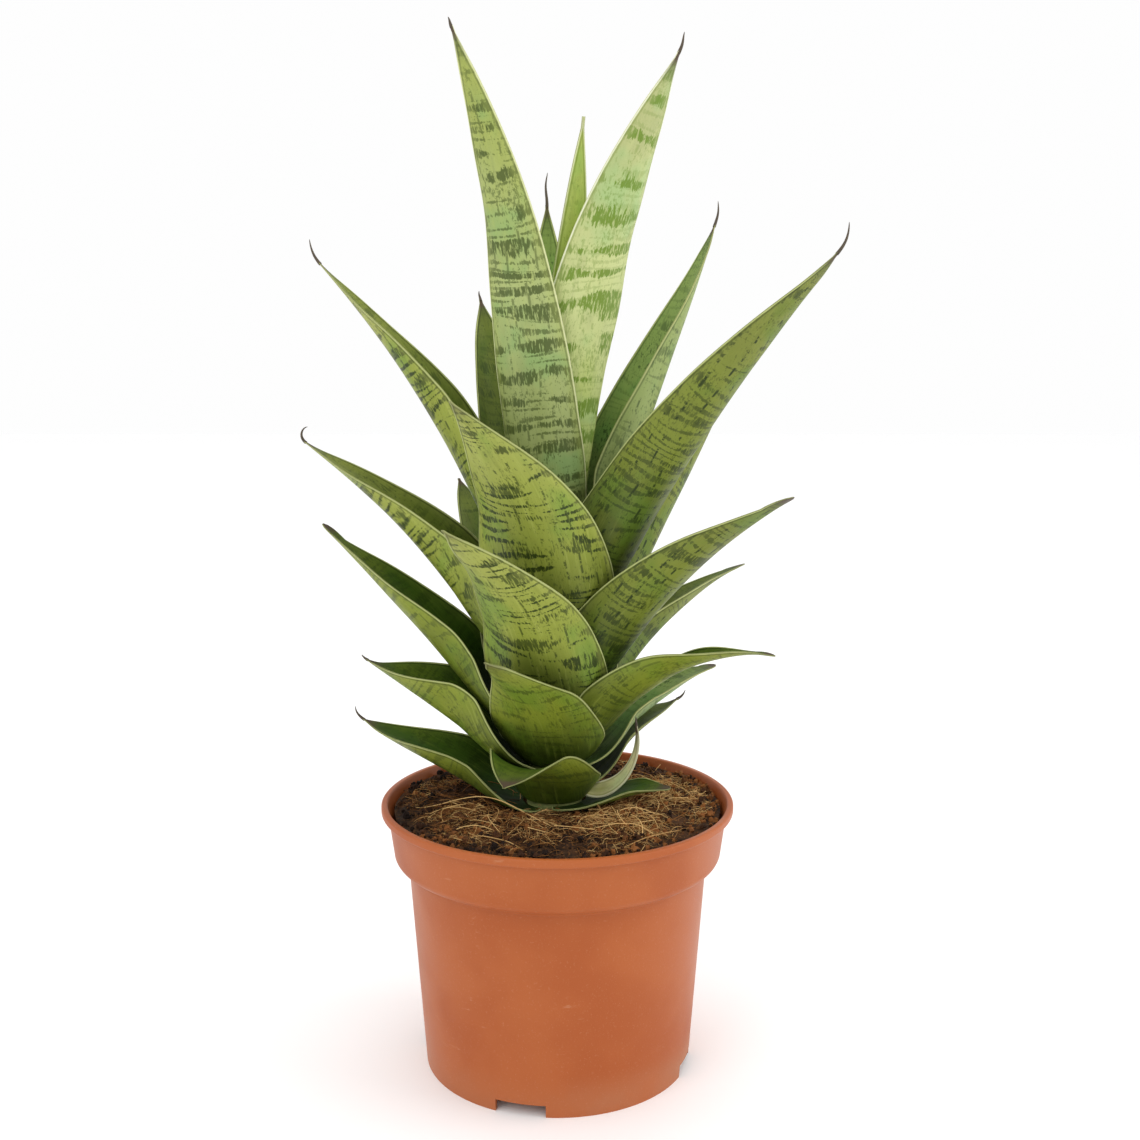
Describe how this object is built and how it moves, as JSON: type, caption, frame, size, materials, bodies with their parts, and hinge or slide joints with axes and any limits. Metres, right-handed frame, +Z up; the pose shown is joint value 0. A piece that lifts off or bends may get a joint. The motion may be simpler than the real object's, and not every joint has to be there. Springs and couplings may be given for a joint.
{
  "type": "potted snake plant",
  "caption": "Snake plant in a round nursery pot: a rosette of broad, pointed, banded leaves clasping a short stem, rooted in coarse soil.",
  "frame": {"origin": "centre of the pot's foot ring, on the surface it stands on", "axes": "+Z up along the pot's axis, -Y towards the front of the plant, +X to the right seen from the front"},
  "size_m": [0.1733, 0.1235, 0.3369],
  "materials": {
    "pot_plastic": "satin terracotta-coloured plastic with faint scuffs",
    "soil_crumb": null,
    "stem_flesh": null,
    "leaf_a0_skin": "satin succulent leaf, pale green with dark green crossbands and a thin pale margin",
    "leaf_c1_skin": "satin succulent leaf, pale green with dark green crossbands and a thin pale margin",
    "leaf_b1_skin": "satin succulent leaf, pale green with dark green crossbands and a thin pale margin",
    "dry_scale_skin": "papery dried leaf scale, straw-coloured",
    "leaf_d0_skin": "satin succulent leaf, pale green with dark green crossbands and a thin pale margin",
    "leaf_e1_skin": "satin succulent leaf, pale green with dark green crossbands and a thin pale margin",
    "leaf_a1_skin": "satin succulent leaf, pale green with dark green crossbands and a thin pale margin",
    "leaf_d1_skin": "satin succulent leaf, pale green with dark green crossbands and a thin pale margin",
    "leaf_b2_skin": "satin succulent leaf, pale green with dark green crossbands and a thin pale margin",
    "leaf_e2_skin": "satin succulent leaf, pale green with dark green crossbands and a thin pale margin",
    "leaf_c2_skin": "satin succulent leaf, pale green with dark green crossbands and a thin pale margin",
    "leaf_a2_skin": "satin succulent leaf, pale green with dark green crossbands and a thin pale margin",
    "leaf_d2_skin": "satin succulent leaf, pale green with dark green crossbands and a thin pale margin",
    "leaf_b3_skin": "satin succulent leaf, pale green with dark green crossbands and a thin pale margin",
    "leaf_e3_skin": "satin succulent leaf, pale green with dark green crossbands and a thin pale margin",
    "leaf_c3_skin": "satin succulent leaf, pale green with dark green crossbands and a thin pale margin",
    "leaf_a3_skin": "satin succulent leaf, pale green with dark green crossbands and a thin pale margin",
    "leaf_d3_skin": "satin succulent leaf, pale green with dark green crossbands and a thin pale margin",
    "leaf_b4_skin": "satin succulent leaf, pale green with dark green crossbands and a thin pale margin",
    "leaf_e4_skin": "satin succulent leaf, pale green with dark green crossbands and a thin pale margin",
    "leaf_c4_skin": "satin succulent leaf, pale green with dark green crossbands and a thin pale margin",
    "leaf_a4_skin": "satin succulent leaf, pale green with dark green crossbands and a thin pale margin",
    "leaf_d4_skin": "satin succulent leaf, pale green with dark green crossbands and a thin pale margin",
    "leaf_b5_skin": "satin succulent leaf, pale green with dark green crossbands and a thin pale margin",
    "leaf_e5_skin": "satin succulent leaf, pale green with dark green crossbands and a thin pale margin",
    "leaf_c5_skin": "satin succulent leaf, pale green with dark green crossbands and a thin pale margin",
    "leaf_b6_skin": "satin succulent leaf, pale green with dark green crossbands and a thin pale margin"
  },
  "bodies": {
    "root": {"pot": "pot_plastic", "soil": "soil_crumb", "stem": "stem_flesh", "leaf_a0": "leaf_a0_skin", "leaf_c1": "leaf_c1_skin", "leaf_b1": "leaf_b1_skin", "dry_scale": "dry_scale_skin", "leaf_d0": "leaf_d0_skin", "leaf_e1": "leaf_e1_skin", "leaf_a1": "leaf_a1_skin", "leaf_d1": "leaf_d1_skin", "leaf_b2": "leaf_b2_skin", "leaf_e2": "leaf_e2_skin", "leaf_c2": "leaf_c2_skin", "leaf_a2": "leaf_a2_skin", "leaf_d2": "leaf_d2_skin", "leaf_b3": "leaf_b3_skin", "leaf_e3": "leaf_e3_skin", "leaf_c3": "leaf_c3_skin", "leaf_a3": "leaf_a3_skin", "leaf_d3": "leaf_d3_skin", "leaf_b4": "leaf_b4_skin", "leaf_e4": "leaf_e4_skin", "leaf_c4": "leaf_c4_skin", "leaf_a4": "leaf_a4_skin", "leaf_d4": "leaf_d4_skin", "leaf_b5": "leaf_b5_skin", "leaf_e5": "leaf_e5_skin", "leaf_c5": "leaf_c5_skin", "leaf_b6": "leaf_b6_skin"}
  },
  "joints": []
}
